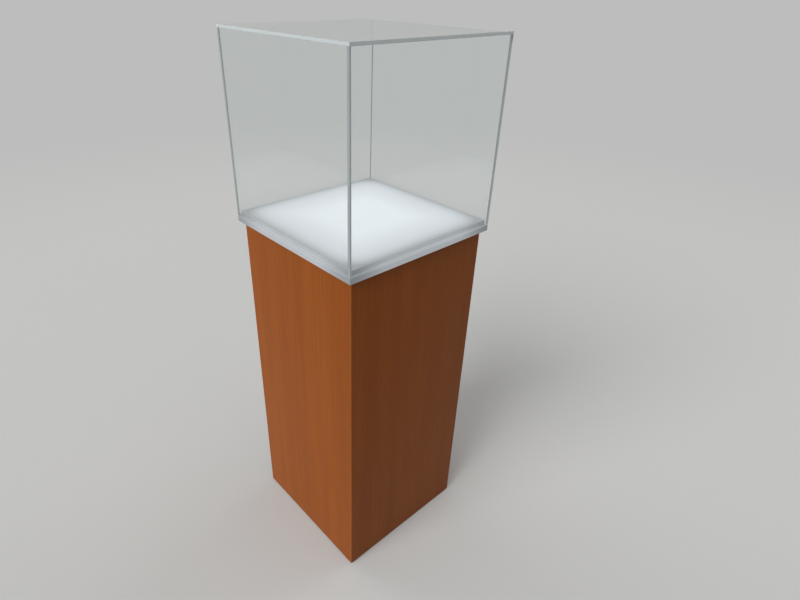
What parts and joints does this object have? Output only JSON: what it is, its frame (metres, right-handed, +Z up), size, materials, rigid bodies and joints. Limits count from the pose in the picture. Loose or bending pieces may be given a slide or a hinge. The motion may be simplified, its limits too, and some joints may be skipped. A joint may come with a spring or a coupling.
{
  "type": "pedestal display case",
  "caption": "Square wood-laminate pedestal with a lit opal top and a clear lift-off cover for showing an object.",
  "frame": {"origin": "on the floor, under the middle of the plinth", "axes": "+Z up, -Y towards the front, +Y towards the back panel with the inlet, +X to the right seen from the front"},
  "size_m": [0.424, 0.424, 1.327],
  "materials": {
    "wood_laminate": "satin wood-grain laminate, vertical grain",
    "softwood": "planed softwood and birch ply, unfinished",
    "nylon": "moulded, low sheen",
    "screw_steel": "zinc plated",
    "tray_white": "white-faced board",
    "strip_board": "white flexible circuit board with small lamps",
    "copper_wire": "insulated wire",
    "lead_white": "soft insulation",
    "lead_black": "soft insulation",
    "driver_white": "moulded, fine texture",
    "clip_white": "moulded",
    "inlet_black": "moulded, fine texture",
    "contact_metal": "nickel plated",
    "fuse_glass": "clear",
    "opal": "opal sheet, lit from below",
    "clear_sheet": "clear polished sheet with bonded edges"
  },
  "bodies": {
    "plinth": {"front_panel": "wood_laminate", "back_panel": "wood_laminate", "left_panel": "wood_laminate", "right_panel": "wood_laminate", "base_panel": "softwood", "corner_batten_1": "softwood", "corner_batten_2": "softwood", "corner_batten_3": "softwood", "corner_batten_4": "softwood", "glide_1": "nylon", "glide_2": "nylon", "glide_3": "nylon", "glide_4": "nylon", "glide_screws": "screw_steel", "light_tray": "tray_white", "tray_screws": "screw_steel", "led_strip_1": "strip_board", "led_strip_2": "strip_board", "led_strip_3": "strip_board", "led_strip_4": "strip_board", "led_strip_5": "strip_board", "led_strip_6": "strip_board", "feed_bus": "copper_wire", "dc_lead": "lead_white", "led_driver": "driver_white", "driver_cover_mains": "driver_white", "driver_cover_dc": "driver_white", "driver_screws": "screw_steel", "mains_lead": "lead_black", "cable_clip_1": "clip_white", "cable_clip_2": "clip_white", "cable_clip_3": "clip_white", "clip_screws": "screw_steel", "inlet_body": "inlet_black", "inlet_pins": "contact_metal", "inlet_boot": "inlet_black", "inlet_screws": "screw_steel"},
    "light_top": {"opal_base": "opal", "opal_raised": "opal", "locating_block_1": "opal", "locating_block_2": "opal", "locating_block_3": "opal", "locating_block_4": "opal"},
    "cover": {"cover_top": "clear_sheet", "cover_front": "clear_sheet", "cover_back": "clear_sheet", "cover_left": "clear_sheet", "cover_right": "clear_sheet"},
    "rocker": {"rocker_switch": "inlet_black"},
    "drawer": {"fuse_drawer": "inlet_black", "fuse_tube": "fuse_glass", "fuse_caps": "contact_metal"}
  },
  "joints": [
    {"name": "light_top_lift", "type": "slide", "parent": "plinth", "child": "light_top", "axis": [0, 0, 1], "range_m": [0, 0.15]},
    {"name": "cover_lift", "type": "slide", "parent": "light_top", "child": "cover", "axis": [0, 0, 1], "range_m": [0, 0.45]},
    {"name": "rocker_tilt", "type": "hinge", "parent": "plinth", "child": "rocker", "pos_m": [0, 0.1985, 0.0953], "axis": [-1, 0, 0], "range_deg": [0, 24]},
    {"name": "fuse_drawer_slide", "type": "slide", "parent": "plinth", "child": "drawer", "axis": [0, 1, 0], "range_m": [0, 0.014]}
  ]
}
